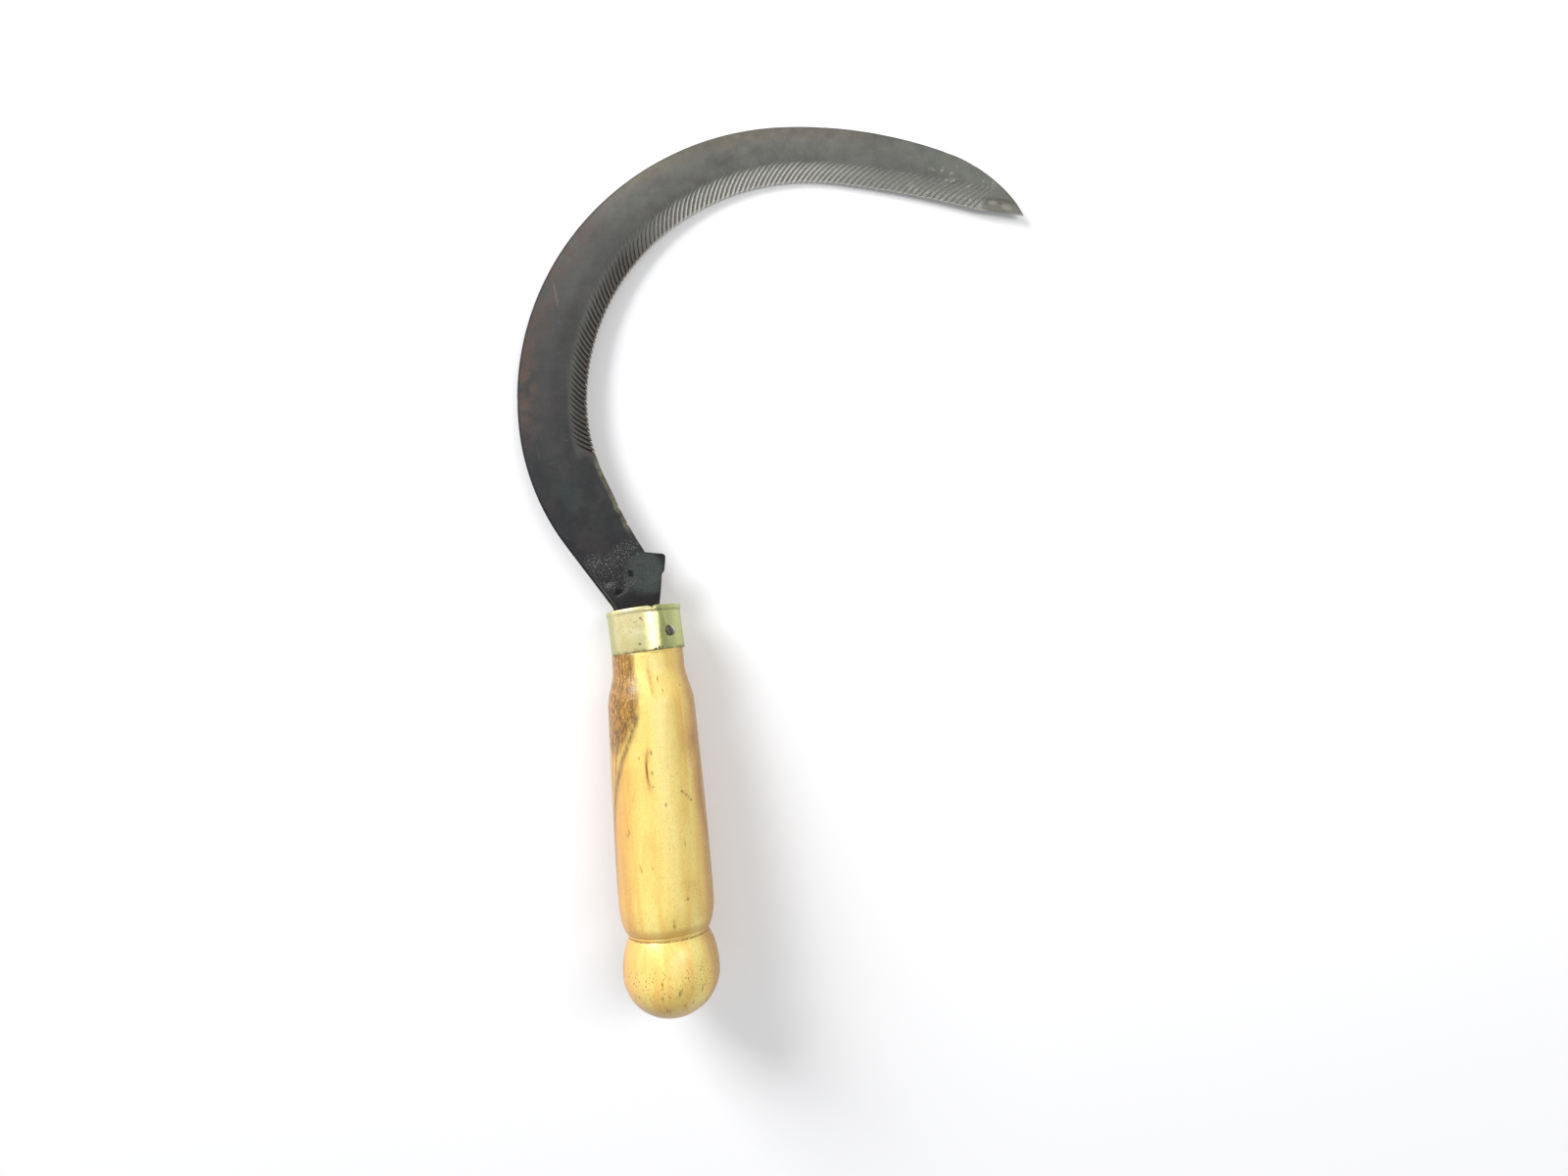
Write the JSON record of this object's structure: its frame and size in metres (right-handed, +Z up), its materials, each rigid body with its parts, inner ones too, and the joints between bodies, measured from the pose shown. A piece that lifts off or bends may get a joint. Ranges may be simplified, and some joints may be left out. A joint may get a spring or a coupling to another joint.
{
  "type": "hand sickle",
  "caption": "Serrated hand sickle: thin crescent blade with chisel-cut teeth, its tang in a turned wooden handle with a brass ferrule.",
  "frame": {"origin": "centre of the bounding box's bottom face, on the table the sickle lies on", "axes": "+Z up from the table, +Y from the butt along the handle towards the crescent's crown, +X to the side the crescent opens to and its tip points to"},
  "size_m": [0.1842, 0.304, 0.0376],
  "materials": {
    "blade_steel": "satin",
    "handle_wood": "satin",
    "ferrule_brass": "satin",
    "nail_steel": "matte"
  },
  "bodies": {
    "root": {"blade": "blade_steel", "handle": "handle_wood", "ferrule": "ferrule_brass", "nail": "nail_steel"}
  },
  "joints": []
}
